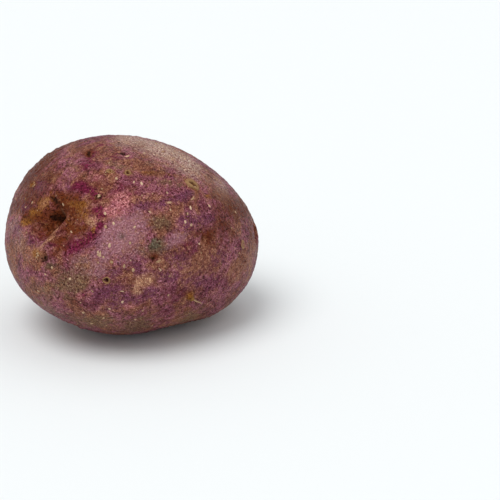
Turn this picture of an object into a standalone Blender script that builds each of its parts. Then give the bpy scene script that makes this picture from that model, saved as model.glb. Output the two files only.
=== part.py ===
"""A potato: an oval, purple-skinned table potato, lying as it comes to rest.

A tuber grows in one piece, so it is one closed solid. A sphere is shaped into the smooth
tuber by a formula, and its eyes, brows, dents, scars and warts are raised from that surface
or sunk into it. Lengths are in millimetres until the mesh is made, and angles in degrees.

A spot on the tuber is an aim of two angles: how far from the rose end, the blunt end where
the eyes crowd together, and how far round the long axis, from the top (0) over the front
(90) to the underside (180).
"""

import math

import bmesh
import bpy
import numpy as np

METRES = 0.001

# The smooth tuber: half its length, width and height, and what makes it more than an ellipsoid.
HALF_LENGTH = 39.0
HALF_WIDTH = 33.7
HALF_HEIGHT = 28.5
BOXINESS = 2.1
TAPER = 0.14
BEND_BACK = 0.4
BEND_DOWN = 3.1
NOSE_DOWN = 12.5

# Where the middle of the tuber stands. The frame's origin is under the middle of its box.
MIDDLE = (1.15, -0.1, 27.75)

# Swellings and dents: aim, turn, half length and half width of the spot, and height.
FORMS = [
    ((27, 20), 0, 8.0, 6.0, 0.7),
    ((30.5, 51), 30, 11.5, 8.0, -2.6),
    ((26.5, 44.5), -50, 2.9, 1.9, -2.6),
    ((58, 76), 20, 14.0, 9.0, 0.7),
    ((88, 96), 0, 13.0, 16.0, -0.9),
    ((76, -14), 0, 14.0, 18.0, 0.25),
    ((122, 15), 0, 14.0, 14.0, -0.2),
    ((42, -43), 0, 8.0, 8.0, 0.25),
    ((28, -75), 0, 10.0, 10.0, -0.25),
    ((118, 136), 0, 9.0, 9.0, 0.6),
    ((101, 150), 0, 8.0, 8.0, -0.6),
    ((76, 180), 0, 14.0, 14.0, 0.9),
    ((104, 180), 0, 14.0, 12.0, -0.6),
    ((55, 171), 0, 10.0, 12.0, -0.55),
    ((84, 153), 0, 7.0, 8.0, 0.4),
    ((122, 108), 0, 14.0, 14.0, 0.6),
    ((75, -68), 15, 17.0, 10.0, -1.1),
    ((112, -40), 0, 15.0, 12.0, 0.8),
    ((48, -120), 0, 13.0, 13.0, 0.7),
    ((118, -125), 0, 14.0, 11.0, -0.9),
]

# Eyes: aim, turn, half width, depth of the hollow and height and curl of the brow.
EYES = [
    ((21.5, 50.5), -60, 7.4, 2.9, 1.0, 0.10),
    ((20.5, 103), 160, 3.2, 1.2, 0.4, 0.35),
    ((12, 28), 35, 3.2, 0.9, 0.3, 0.35),
    ((54, 7.5), 10, 2.6, 1.1, 0.3, 0.35),
    ((67, 19), 30, 2.4, 0.6, 0.35, 0.35),
    ((69.5, 84), 0, 2.8, 1.0, 0.3, 0.35),
    ((95, 73), 10, 3.4, 0.9, 0.3, 0.35),
    ((60, 166), 0, 3.0, 1.1, 0.4, 0.35),
    ((40, -62), 10, 5.0, 2.0, 0.6, 0.35),
    ((76, -78), -8, 5.4, 1.9, 0.7, 0.35),
    ((104, -22), 5, 4.6, 1.5, 0.5, 0.35),
    ((62, -138), 12, 5.0, 1.8, 0.6, 0.35),
    ((108, -118), 0, 5.0, 1.5, 0.6, 0.35),
    ((98, 158), -10, 4.4, 1.4, 0.5, 0.35),
    ((140, 60), 0, 4.4, 1.1, 0.5, 0.35),
    ((143, -72), 0, 4.6, 1.2, 0.5, 0.35),
]

# An eye's parts as shares of its half width, and its bud's height as a share of its depth.
HOLLOW_SHARES = (0.62, 0.36)
BROW_SHARES = (0.85, 0.2)
BROW_OFFSET = 0.5
BUD_SHARE = 0.14
BUD_HEIGHT = 0.3

# Scars left by large corky pores: aim, half length, half width, rim height and pit depth.
PORE_SCARS = [
    ((92, 42), 1.8, 1.2, 0.30, 0.35),
    ((64, 34), 1.3, 1.2, 0.30, 0.50),
    ((57, 30), 1.2, 1.1, 0.30, 0.15),
    ((52, 100.5), 1.3, 1.3, 0.30, 1.00),
    ((47, 84.5), 1.5, 1.4, 0.25, 0.15),
    ((28, -13), 1.5, 1.2, 0.25, 0.10),
]
PIT_SHARE = 0.45

# Smaller pores, spread evenly over the skin by the golden angle and then jittered.
PORE_COUNT = 26
PORE_SEED = 7
PORE_JITTER = 5.0
PORE_RADII = (0.9, 1.3)
PORE_HEIGHT = 0.25
PORE_PIT = 0.05
GOLDEN_ANGLE = 137.5

# The hollow where the stolon broke off, with its scar, and the stub of one root.
STEM_END = (178, 0)
STEM_HOLLOW_RADIUS = 5.5
STEM_HOLLOW_DEPTH = 2.0
STEM_SCAR_RADIUS = 2.0
STEM_SCAR_HEIGHT = 0.8
ROOT_STUB = (93, 109.5)
ROOT_STUB_RADIUS = 1.0
ROOT_STUB_HEIGHT = 1.1

# A spot's features stay on its own side: past this cosine from its aim, places count as far off.
SIDE_COSINE = 0.3
FAR_OFF = 1000.0

# Fineness of the mesh: the sphere's subdivisions, then two rounds of splitting near a feature.
SPHERE_SUBDIVISIONS = 5
SPLIT_REACHES = (1.25, 0.65)
SPLIT_MARGIN = 0.4
PORE_DETAIL = 1.4

SKIN_COLOUR = (0.20, 0.075, 0.105, 1.0)
SKIN_ROUGHNESS = 0.55


def clear_scene():
    for old in list(bpy.data.objects):
        bpy.data.objects.remove(old, do_unlink=True)


def aim(from_rose, round_axis):
    """The unit direction of an aim. The rose end is at -X, the top at +Z and the front at -Y."""
    away, turned = math.radians(from_rose), math.radians(round_axis)
    return np.array(
        [-math.cos(away), -math.sin(away) * math.sin(turned), math.sin(away) * math.cos(turned)]
    )


def smooth_tuber(directions):
    """Points of the tuber before its eyes: a boxy ellipsoid that tapers, bends and noses down."""
    reach = (np.abs(directions) ** BOXINESS).sum(-1, keepdims=True) ** (-1 / BOXINESS)
    x, y, z = np.moveaxis(directions * reach * (HALF_LENGTH, HALF_WIDTH, HALF_HEIGHT), -1, 0)
    along = x / HALF_LENGTH
    girth = 1 - TAPER * along
    y = y * girth + BEND_BACK * along**2
    z = z * girth - BEND_DOWN * along**2
    tilt = math.radians(NOSE_DOWN)
    tilted_x = x * math.cos(tilt) + z * math.sin(tilt)
    tilted_z = z * math.cos(tilt) - x * math.sin(tilt)
    return np.stack([tilted_x, y, tilted_z], -1)


def unit(vectors):
    return vectors / np.linalg.norm(vectors, axis=-1, keepdims=True)


def outward(directions):
    """The smooth tuber's normals, from how its points move as each direction turns a little."""
    step = 0.001
    upright = np.abs(directions[..., 2:]) > 0.9
    helper = np.where(upright, (0.0, 1.0, 0.0), (0.0, 0.0, 1.0))
    first = unit(np.cross(helper, directions))
    second = np.cross(directions, first)
    moved = [
        smooth_tuber(unit(directions + step * way)) - smooth_tuber(unit(directions - step * way))
        for way in (first, second)
    ]
    return unit(np.cross(moved[0], moved[1]))


def local_places(directions, points, spot, turn=0.0):
    """Millimetres across a spot and towards the rose end, for points on the spot's own side.

    A turn swings both axes anticlockwise, seen from outside.
    """
    middle = aim(*spot)
    centre = smooth_tuber(middle)
    out = outward(middle)
    to_rose = smooth_tuber(aim(spot[0] - 1, spot[1])) - centre
    to_rose = unit(to_rose - out * to_rose.dot(out))
    across = np.cross(to_rose, out)
    swing = math.radians(turn)
    from_centre = points - centre
    u = from_centre @ (across * math.cos(swing) + to_rose * math.sin(swing))
    v = from_centre @ (to_rose * math.cos(swing) - across * math.sin(swing))
    other_side = directions @ middle < SIDE_COSINE
    return np.where(other_side, FAR_OFF, u), np.where(other_side, FAR_OFF, v)


def mound(u, v, half_length, half_width):
    """A round-topped hill of height 1 that fades to nothing at about twice its half sizes."""
    return np.exp(-((u / half_length) ** 2) - (v / half_width) ** 2)


def eye_height(u, v, half_width, depth, brow, curl):
    """A scooped hollow, a brow that curls round its stem side, and a bud on its floor."""
    hollow = mound(u, v, HOLLOW_SHARES[0] * half_width, HOLLOW_SHARES[1] * half_width)
    brow_line = curl * u**2 / half_width - BROW_OFFSET * half_width
    ridge = mound(u, v - brow_line, BROW_SHARES[0] * half_width, BROW_SHARES[1] * half_width)
    bud = mound(u, v, BUD_SHARE * half_width, BUD_SHARE * half_width)
    return brow * ridge + BUD_HEIGHT * depth * bud - depth * hollow


def pore_scar_height(u, v, half_length, half_width, rim, pit):
    """A low corky cushion with a pit in its middle."""
    edge = np.hypot(u / half_length, v / half_width)
    cushion = np.exp(-(edge**4))
    hole = mound(u, v, PIT_SHARE * half_length, PIT_SHARE * half_width)
    return rim * cushion - (rim + pit) * hole


def scattered_pores():
    """Aim and radius of each of the smaller pores."""
    random = np.random.default_rng(PORE_SEED)
    index = np.arange(PORE_COUNT)
    from_rose = np.degrees(np.arccos(1 - 2 * (index + 0.5) / PORE_COUNT))
    from_rose += random.normal(0, PORE_JITTER, PORE_COUNT)
    round_axis = index * GOLDEN_ANGLE + random.normal(0, PORE_JITTER, PORE_COUNT)
    radii = random.uniform(*PORE_RADII, PORE_COUNT)
    return [((a, r), radius) for a, r, radius in zip(from_rose, round_axis, radii)]


def stem_end_height(u, v):
    """The shallow hollow of the stem end, with the broken stolon's scar standing in it."""
    hollow = mound(u, v, STEM_HOLLOW_RADIUS, STEM_HOLLOW_RADIUS)
    scar = np.exp(-((np.hypot(u, v) / STEM_SCAR_RADIUS) ** 4))
    return STEM_SCAR_HEIGHT * scar - STEM_HOLLOW_DEPTH * hollow


def relief(directions, points):
    """Height of the real skin over the smooth tuber, the sum of all its features."""
    height = np.zeros(len(points))
    for spot, turn, half_length, half_width, rise in FORMS:
        u, v = local_places(directions, points, spot, turn)
        height += rise * mound(u, v, half_length, half_width)
    for spot, turn, half_width, depth, brow, curl in EYES:
        u, v = local_places(directions, points, spot, turn)
        height += eye_height(u, v, half_width, depth, brow, curl)
    for spot, half_length, half_width, rim, pit in PORE_SCARS:
        u, v = local_places(directions, points, spot)
        height += pore_scar_height(u, v, half_length, half_width, rim, pit)
    for spot, radius in scattered_pores():
        u, v = local_places(directions, points, spot)
        height += pore_scar_height(u, v, radius, radius, PORE_HEIGHT, PORE_PIT)
    height += stem_end_height(*local_places(directions, points, STEM_END))
    u, v = local_places(directions, points, ROOT_STUB)
    height += ROOT_STUB_HEIGHT * mound(u, v, ROOT_STUB_RADIUS, ROOT_STUB_RADIUS)
    return height


def feature_spots():
    """Aim and size of each small feature that the mesh has to be fine enough to show."""
    spots = [(spot, half_width) for spot, _, half_width, _, _, _ in EYES]
    spots += [(spot, PORE_DETAIL * half_length) for spot, half_length, _, _, _ in PORE_SCARS]
    spots += [(spot, PORE_DETAIL * radius) for spot, radius in scattered_pores()]
    spots.append((STEM_END, PORE_DETAIL * STEM_SCAR_RADIUS))
    spots.append((ROOT_STUB, PORE_DETAIL * ROOT_STUB_RADIUS))
    return spots


def split_near_features(ball, reach):
    """Halves the ball's edges within reach times a feature's size, and keeps it a ball."""
    ball.edges.ensure_lookup_table()
    middles = unit(np.array([(e.verts[0].co + e.verts[1].co)[:] for e in ball.edges]))
    points = smooth_tuber(middles)
    near = np.zeros(len(points), bool)
    for spot, size in feature_spots():
        gap = np.linalg.norm(points - smooth_tuber(aim(*spot)), axis=1)
        near |= gap < reach * size + SPLIT_MARGIN
    chosen = [ball.edges[i] for i in np.flatnonzero(near)]
    bmesh.ops.subdivide_edges(ball, edges=chosen, cuts=1)
    bmesh.ops.triangulate(ball, faces=ball.faces[:])
    for vert in ball.verts:
        vert.co.normalize()


def make_potato(collection):
    """Shapes a fine ball into the tuber and sets it on its flat resting spot."""
    mesh = bpy.data.meshes.new("potato")
    ball = bmesh.new()
    bmesh.ops.create_icosphere(ball, subdivisions=SPHERE_SUBDIVISIONS, radius=1.0)
    for reach in SPLIT_REACHES:
        split_near_features(ball, reach)
    ball.to_mesh(mesh)
    ball.free()

    directions = np.empty(len(mesh.vertices) * 3)
    mesh.vertices.foreach_get("co", directions)
    directions = unit(directions.reshape(-1, 3))
    smooth = smooth_tuber(directions)
    skin = smooth + outward(directions) * relief(directions, smooth)[:, None] + MIDDLE
    skin[:, 2] = np.maximum(skin[:, 2], 0.0)
    mesh.vertices.foreach_set("co", (skin * METRES).ravel())
    mesh.shade_smooth()
    mesh.update()

    potato = bpy.data.objects.new("potato", mesh)
    potato.data.materials.append(skin_material())
    collection.objects.link(potato)
    return potato


def skin_material():
    """Thin, dry, slightly waxy purple skin."""
    material = bpy.data.materials.new("purple_skin")
    material.use_nodes = True
    shader = material.node_tree.nodes["Principled BSDF"]
    shader.inputs["Base Color"].default_value = SKIN_COLOUR
    shader.inputs["Roughness"].default_value = SKIN_ROUGHNESS
    shader.inputs["Metallic"].default_value = 0.0
    material.diffuse_color = SKIN_COLOUR
    return material


def main():
    clear_scene()
    collection = bpy.data.collections.new("potato")
    bpy.context.scene.collection.children.link(collection)
    make_potato(collection)


main()
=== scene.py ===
# %% [markdown]
# # A purple-skinned potato
#
# This lesson dresses a plain solid potato with its real skin: lumps and folds, patches of
# violet, magenta and russet, dusty grain, cream pores and cork-rimmed scars. The solid was
# modelled and packed before. Here it is loaded as a fixed frame, and only fine relief may stand
# off it.

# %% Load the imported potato
import math

import bpy
import numpy as np
from mathutils import Matrix, Vector


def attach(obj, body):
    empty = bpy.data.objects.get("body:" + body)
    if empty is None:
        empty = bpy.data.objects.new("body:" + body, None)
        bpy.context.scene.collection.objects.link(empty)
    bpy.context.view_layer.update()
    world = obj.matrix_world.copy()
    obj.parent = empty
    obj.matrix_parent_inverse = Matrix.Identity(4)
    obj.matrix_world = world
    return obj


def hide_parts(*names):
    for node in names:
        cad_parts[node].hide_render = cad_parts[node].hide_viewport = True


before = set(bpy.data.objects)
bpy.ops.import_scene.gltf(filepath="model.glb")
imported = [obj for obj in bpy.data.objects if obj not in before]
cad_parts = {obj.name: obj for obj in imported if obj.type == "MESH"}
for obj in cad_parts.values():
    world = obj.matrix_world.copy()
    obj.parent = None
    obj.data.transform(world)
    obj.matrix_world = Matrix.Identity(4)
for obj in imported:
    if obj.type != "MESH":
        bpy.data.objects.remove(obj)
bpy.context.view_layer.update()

MM = 0.001

# %% [markdown]
# ## The camera
#
# The photograph looks down on the potato's front from its rose end, the blunt end. A long lens
# keeps the outline from bulging. The camera is placed by three unit vectors, back, right and
# up, rather than by clicking, so that its place can be read and repeated.

# %% Set up the camera
MIDDLE = np.array([1.15, -0.1, 27.75])
AZIMUTH = math.radians(-32)
ELEVATION = math.radians(20)
LENS = 100
CAMERA_STEPS = (0.0337, -0.0049, 0.420)  # right, up and back from the middle, in metres

BACK = Vector((
    math.sin(AZIMUTH) * math.cos(ELEVATION),
    -math.cos(AZIMUTH) * math.cos(ELEVATION),
    math.sin(ELEVATION),
))
RIGHT = Vector((math.cos(AZIMUTH), math.sin(AZIMUTH), 0))
UP = BACK.cross(RIGHT)
CAMERA_AXES = Matrix((RIGHT, UP, BACK)).transposed()

camera_data = bpy.data.cameras.new("camera")
camera_data.lens = LENS
camera = bpy.data.objects.new("camera", camera_data)
bpy.context.scene.collection.objects.link(camera)
bpy.context.scene.camera = camera
eye_point = Vector(MIDDLE * MM) + CAMERA_AXES @ Vector(CAMERA_STEPS)
camera.matrix_world = Matrix.Translation(eye_point) @ CAMERA_AXES.to_4x4()
print("camera at", [round(c, 3) for c in eye_point])

# %% [markdown]
# ## Floor and light
#
# The potato lies on a pale, matt table under soft studio light. A softbox can be an area light,
# but a broad sun lights a wide floor just as evenly near and far, so each softbox here is a sun
# with a very wide disc: the main one from the upper left, a weaker one from above and the right.

# %% Make the floor and the lights
FLOOR_HALF = 6.0
FLOOR_COLOUR = (0.83, 0.85, 0.85, 1.0)
FLOOR_ROUGHNESS = 0.9
FLOOR_SPECULAR = 0.1
LIGHTS = {  # steps right, up and back towards the light, strength, width of its disc in degrees
    "key": ((-0.38, 0.92, 0.82), 1.58, 40),
    "top": ((0.45, 1.0, 0.62), 0.56, 90),
}
SKY_COLOUR = (0.95, 0.98, 1.0, 1.0)
SKY_STRENGTH = 0.58

floor_mesh = bpy.data.meshes.new("floor")
corners = [(x * FLOOR_HALF, y * FLOOR_HALF, 0) for x, y in ((-1, -1), (1, -1), (1, 1), (-1, 1))]
floor_mesh.from_pydata(corners, [], [(0, 1, 2, 3)])
floor = bpy.data.objects.new("floor", floor_mesh)
bpy.context.scene.collection.objects.link(floor)
floor_material = bpy.data.materials.new("pale_table")
floor_material.use_nodes = True
table_shader = floor_material.node_tree.nodes["Principled BSDF"]
table_shader.inputs["Base Color"].default_value = FLOOR_COLOUR
table_shader.inputs["Roughness"].default_value = FLOOR_ROUGHNESS
table_shader.inputs["Specular IOR Level"].default_value = FLOOR_SPECULAR
floor_mesh.materials.append(floor_material)

for name, (steps, strength, disc) in LIGHTS.items():
    light_data = bpy.data.lights.new(name, "SUN")
    light_data.energy = strength
    light_data.angle = math.radians(disc)
    light = bpy.data.objects.new(name, light_data)
    bpy.context.scene.collection.objects.link(light)
    light.rotation_euler = (CAMERA_AXES @ Vector(steps)).to_track_quat("Z", "Y").to_euler()

world = bpy.data.worlds.new("studio")
bpy.context.scene.world = world
world.use_nodes = True
sky = world.node_tree.nodes["Background"]
sky.inputs["Color"].default_value = SKY_COLOUR
sky.inputs["Strength"].default_value = SKY_STRENGTH
bpy.context.scene.view_settings.view_transform = "Standard"
print("lights:", ", ".join(LIGHTS))

# %% [markdown]
# ## The smooth tuber
#
# A tuber is a swollen stem: nearly an ellipsoid, a little boxy, thicker at the rose end and
# bent. Sculpting could shape it, but a formula can be read and gives the same potato each time.
# A spot on it is named by an aim of two angles: how far from the rose end, and how far round
# the long axis from the top (0) over the front (90) to the underside (180).

# %% Shape the smooth tuber
HALF_SIZES = np.array([39.0, 33.7, 28.5])
BOXINESS = 2.1
TAPER = 0.14
BEND_BACK = 0.4
BEND_DOWN = 3.1
NOSE_DOWN = math.radians(12.5)
NEAR_UPRIGHT = 0.9
NORMAL_STEP = 0.001


def unit(vectors):
    """Vectors divided by their lengths."""
    return vectors / np.linalg.norm(vectors, axis=-1, keepdims=True)


def aims(spots):
    """Unit directions of aims in degrees. The rose end is at -X, the top +Z and the front -Y."""
    away, turned = np.radians(np.moveaxis(np.asarray(spots, float), -1, 0))
    return np.stack(
        [-np.cos(away), -np.sin(away) * np.sin(turned), np.sin(away) * np.cos(turned)], -1
    )


def spots_of(directions):
    """Aims, in degrees, of unit directions."""
    from_rose = np.degrees(np.arccos(-directions[..., 0]))
    round_axis = np.degrees(np.arctan2(-directions[..., 1], directions[..., 2]))
    return np.stack([from_rose, round_axis], -1)


def smooth_tuber(directions):
    """Where directions from the middle meet the tuber, before its relief.

    A superellipsoid, |x/a|^n + |y/b|^n + |z/c|^n = 1, whose girth shrinks towards +X, whose
    ends bend by the square of x, and which is then tilted nose down.
    """
    reach = (np.abs(directions) ** BOXINESS).sum(-1, keepdims=True) ** (-1 / BOXINESS)
    x, y, z = np.moveaxis(directions * reach * HALF_SIZES, -1, 0)
    along = x / HALF_SIZES[0]
    girth = 1 - TAPER * along
    y = y * girth + BEND_BACK * along**2
    z = z * girth - BEND_DOWN * along**2
    tilted_x = x * math.cos(NOSE_DOWN) + z * math.sin(NOSE_DOWN)
    tilted_z = z * math.cos(NOSE_DOWN) - x * math.sin(NOSE_DOWN)
    return np.stack([tilted_x, y, tilted_z], -1)


def side_steps(directions):
    """Two unit vectors square to each direction and to each other."""
    upright = np.abs(directions[..., 2:]) > NEAR_UPRIGHT
    helper = np.where(upright, (0.0, 1.0, 0.0), (0.0, 0.0, 1.0))
    first = unit(np.cross(helper, directions))
    return first, np.cross(directions, first)


def moves(directions, step):
    """How the smooth tuber's points move, from one step behind to one ahead on both sides."""
    return [
        smooth_tuber(unit(directions + step * way)) - smooth_tuber(unit(directions - step * way))
        for way in side_steps(directions)
    ]


def outward(directions):
    """Normals of the smooth tuber: the cross product of its two moves."""
    return unit(np.cross(*moves(directions, NORMAL_STEP)))


def spot_frames(spots, turns):
    """Each spot's centre and its two unit axes: across, and towards the rose end, then turned."""
    spots = np.asarray(spots, float)
    out = outward(aims(spots))
    centre = smooth_tuber(aims(spots))
    to_rose = smooth_tuber(aims(spots - (1, 0))) - centre
    to_rose = unit(to_rose - out * (to_rose * out).sum(-1, keepdims=True))
    across = np.cross(to_rose, out)
    swing = np.radians(np.asarray(turns, float))[..., None]
    return (
        centre,
        across * np.cos(swing) + to_rose * np.sin(swing),
        to_rose * np.cos(swing) - across * np.sin(swing),
    )


print("rose end at", smooth_tuber(aims((0, 0))) + MIDDLE, "mm")

# %% [markdown]
# ## Relief of the skin
#
# Eyes, brows, dents and scars are the same as on the solid, so they use the same numbers. Finer
# forms come on top of them: folds that gather in the deep eye, and ripples of the skin itself.
# A displacement texture could do this too, but heights worked out here end up in the mesh,
# where every export keeps them.

# %% List the forms of the relief
# Swellings and dents: aim (two numbers), turn, half length, half width and height.
FORMS = [
    (27, 20, 0, 8.0, 6.0, 0.7), (30.5, 51, 30, 11.5, 8.0, -2.6), (26.5, 44.5, -50, 2.9, 1.9, -2.6),
    (58, 76, 20, 14.0, 9.0, 0.7), (88, 96, 0, 13.0, 16.0, -0.9), (76, -14, 0, 14.0, 18.0, 0.25),
    (122, 15, 0, 14.0, 14.0, -0.2), (42, -43, 0, 8.0, 8.0, 0.25), (28, -75, 0, 10.0, 10.0, -0.25),
    (118, 136, 0, 9.0, 9.0, 0.6), (101, 150, 0, 8.0, 8.0, -0.6), (76, 180, 0, 14.0, 14.0, 0.9),
    (104, 180, 0, 14.0, 12.0, -0.6), (55, 171, 0, 10.0, 12.0, -0.55), (84, 153, 0, 7.0, 8.0, 0.4),
    (122, 108, 0, 14.0, 14.0, 0.6), (75, -68, 15, 17.0, 10.0, -1.1), (112, -40, 0, 15.0, 12.0, 0.8),
    (48, -120, 0, 13.0, 13.0, 0.7), (118, -125, 0, 14.0, 11.0, -0.9),
]

# Eyes: aim, turn, half width, depth of the hollow, and height and curl of the brow.
EYES = [
    (21.5, 50.5, -60, 7.4, 2.9, 1.0, 0.1), (20.5, 103, 160, 3.2, 1.2, 0.4, 0.35),
    (12, 28, 35, 3.2, 0.9, 0.3, 0.35), (54, 7.5, 10, 2.6, 1.1, 0.3, 0.35),
    (67, 19, 30, 2.4, 0.6, 0.35, 0.35), (69.5, 84, 0, 2.8, 1.0, 0.3, 0.35),
    (95, 73, 10, 3.4, 0.9, 0.3, 0.35), (60, 166, 0, 3.0, 1.1, 0.4, 0.35),
    (40, -62, 10, 5.0, 2.0, 0.6, 0.35), (76, -78, -8, 5.4, 1.9, 0.7, 0.35),
    (104, -22, 5, 4.6, 1.5, 0.5, 0.35), (62, -138, 12, 5.0, 1.8, 0.6, 0.35),
    (108, -118, 0, 5.0, 1.5, 0.6, 0.35), (98, 158, -10, 4.4, 1.4, 0.5, 0.35),
    (140, 60, 0, 4.4, 1.1, 0.5, 0.35), (143, -72, 0, 4.6, 1.2, 0.5, 0.35),
]
HOLLOW_SHARES = (0.62, 0.36)
BROW_SHARES = (0.85, 0.2)
BROW_OFFSET = 0.5
BUD_SHARE = 0.14
BUD_HEIGHT = 0.3

# Scars of large corky pores: aim, half length, half width, rim height and pit depth.
PORE_SCARS = [
    (92, 42, 1.8, 1.2, 0.3, 0.35), (64, 34, 1.3, 1.2, 0.3, 0.5), (57, 30, 1.2, 1.1, 0.3, 0.15),
    (52, 100.5, 1.3, 1.3, 0.3, 1.0), (47, 84.5, 1.5, 1.4, 0.25, 0.15), (28, -13, 1.5, 1.2, 0.25, 0.1),
]
PIT_SHARE = 0.45

# Smaller pores, spread by the golden angle and jittered, as on the solid.
PORE_COUNT = 26
PORE_SEED = 7
PORE_JITTER = 5.0
PORE_RADII = (0.9, 1.3)
PORE_HEIGHT = 0.25
PORE_PIT = 0.05
GOLDEN_ANGLE = 137.5

STEM_END = (178, 0)
STEM_HOLLOW = (5.5, 2.0)  # radius and depth
STEM_SCAR = (2.0, 0.8)  # radius and height
ROOT_STUB = (93, 109.5)
ROOT_STUB_SIZE = (1.0, 1.1)  # radius and height

# Folds finer than the solid's faces: aim, turn, half length, half width and height.
FOLDS = [
    (29, 26, -8, 2.2, 0.9, -0.25), (30, 32, -1, 2.6, 0.9, -0.3), (25, 23, 89, 3.4, 2.2, 0.12),
    (29, 39, -14, 1.8, 0.55, 0.35), (27, 49, -37, 2.2, 0.5, 0.45), (26, 61, -54, 2.6, 0.5, 0.45),
    (22, 73, -57, 2.8, 0.5, 0.4), (17, 88, -50, 2.4, 0.5, 0.25), (24, 55, -48, 5.0, 0.7, -0.35),
    (18, 51, -85, 3.4, 1.0, -0.35), (24, 82, -70, 3.6, 0.8, -0.3), (42, 71, -59, 4.5, 1.0, -0.45),
    (47, 50, 60, 3.8, 1.0, -0.4), (20, 100, -65, 1.8, 1.0, -0.45), (44, 34, 40, 3.0, 0.9, -0.25),
    (56, 62, 88, 3.2, 0.5, -0.18), (67, 17, 40, 1.9, 0.45, -0.3), (68, 20, 62, 1.3, 0.45, 0.25),
    (70, 7, -19, 2.2, 1.1, -0.15), (108, 24, 54, 2.2, 0.45, -0.15), (106, 31, 54, 2.4, 0.45, -0.15),
    (81, 36, 88, 7.0, 0.6, 0.1), (96, 73, 80, 4.0, 2.4, -0.2),
]

# Ripples of the skin: wavelength in millimetres, height and seed.
RIPPLES = [(13.0, 0.05, 3), (5.0, 0.035, 4), (2.4, 0.04, 5), (1.4, 0.03, 6)]
print(len(FORMS), "forms,", len(EYES), "eyes and", len(FOLDS), "folds listed")

# %% Turn the forms into heights
SIDE_COSINE = 0.3  # a form reaches no further round the tuber than this
FAR_OFF = 1000.0


def mound(u, v, half_length, half_width):
    """A round-topped hill of height 1: e to the minus squared distance in half sizes."""
    return np.exp(-((u / half_length) ** 2) - (v / half_width) ** 2)


def eye_height(u, v, half_width, depth, brow, curl):
    """A scooped hollow, a brow whose line is a parabola, and a bud on the hollow's floor."""
    hollow = mound(u, v, HOLLOW_SHARES[0] * half_width, HOLLOW_SHARES[1] * half_width)
    brow_line = curl * u**2 / half_width - BROW_OFFSET * half_width
    ridge = mound(u, v - brow_line, BROW_SHARES[0] * half_width, BROW_SHARES[1] * half_width)
    bud = mound(u, v, BUD_SHARE * half_width, BUD_SHARE * half_width)
    return brow * ridge + BUD_HEIGHT * depth * bud - depth * hollow


def pore_scar_height(u, v, half_length, half_width, rim, pit):
    """A flat cushion, e to the minus fourth power of the distance, with a pit in its middle."""
    cushion = np.exp(-(np.hypot(u / half_length, v / half_width) ** 4))
    hole = mound(u, v, PIT_SHARE * half_length, PIT_SHARE * half_width)
    return rim * cushion - (rim + pit) * hole


def golden_spots(random, count, jitter):
    """Aims spread over the tuber: even steps of height, golden steps round it, then jitter."""
    index = np.arange(count)
    from_rose = np.degrees(np.arccos(1 - 2 * (index + 0.5) / count))
    from_rose += random.normal(0, jitter, count)
    round_axis = index * GOLDEN_ANGLE + random.normal(0, jitter, count)
    return np.stack([from_rose, round_axis], 1)


def scattered_pores():
    """The smaller pores, as rows like those of PORE_SCARS."""
    random = np.random.default_rng(PORE_SEED)
    spots = golden_spots(random, PORE_COUNT, PORE_JITTER)
    radii = random.uniform(*PORE_RADII, PORE_COUNT)
    return [(*spot, radius, radius, PORE_HEIGHT, PORE_PIT) for spot, radius in zip(spots, radii)]


def local_places(directions, points, spot, turn=0.0):
    """Millimetres along a spot's two axes, and far off for points on the other side."""
    centre, across, to_rose = spot_frames(spot, turn)
    other_side = directions @ aims(spot) < SIDE_COSINE
    from_centre = points - centre
    return (
        np.where(other_side, FAR_OFF, from_centre @ across),
        np.where(other_side, FAR_OFF, from_centre @ to_rose),
    )


def ripples(points, wavelength, seed, waves=48):
    """A smooth random field: cosine waves of one length in random directions, added up."""
    random = np.random.default_rng(seed)
    ways = unit(random.normal(size=(waves, 3))) * 2 * math.pi / wavelength
    phases = random.uniform(0, 2 * math.pi, waves)
    return np.cos(points @ ways.T + phases).sum(-1) / math.sqrt(waves / 2)


def relief(directions, points):
    """Height of the skin over the smooth tuber: the sum of all its features."""
    height = np.zeros(len(points))
    for *spot, turn, half_length, half_width, rise in FORMS + FOLDS:
        u, v = local_places(directions, points, spot, turn)
        height += rise * mound(u, v, half_length, half_width)
    for *spot, turn, half_width, depth, brow, curl in EYES:
        u, v = local_places(directions, points, spot, turn)
        height += eye_height(u, v, half_width, depth, brow, curl)
    for *spot, half_length, half_width, rim, pit in PORE_SCARS + scattered_pores():
        u, v = local_places(directions, points, spot)
        height += pore_scar_height(u, v, half_length, half_width, rim, pit)
    u, v = local_places(directions, points, STEM_END)
    height += STEM_SCAR[1] * np.exp(-((np.hypot(u, v) / STEM_SCAR[0]) ** 4))
    height -= STEM_HOLLOW[1] * mound(u, v, STEM_HOLLOW[0], STEM_HOLLOW[0])
    u, v = local_places(directions, points, ROOT_STUB)
    height += ROOT_STUB_SIZE[1] * mound(u, v, ROOT_STUB_SIZE[0], ROOT_STUB_SIZE[0])
    for wavelength, rise, seed in RIPPLES:
        height += rise * ripples(points, wavelength, seed)
    return height


def skin_points(directions, lift=0.0):
    """Points of the finished skin, or lifted off it, cut off flat at the resting spot.

    Each is the smooth tuber's point, plus its normal times the relief and the lift.
    """
    smooth = smooth_tuber(directions)
    height = relief(directions, smooth) + lift
    skin = smooth + outward(directions) * height[:, None] + MIDDLE
    skin[:, 2] = np.maximum(skin[:, 2], 0.0)
    return skin


print("rose end at", skin_points(aims([(0, 0)]))[0], "mm with its relief")

# %% [markdown]
# ## The skin mesh
#
# A ball with poles would crowd its faces at two points and pinch the pattern there. Six square
# grids, one for each side of a cube, blown up to a sphere, keep all faces about the same size.
# Points that meet on the cube's edges are merged, so the skin is one closed surface.

# %% Make the skin mesh
SKIN_STEPS = 128


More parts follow.
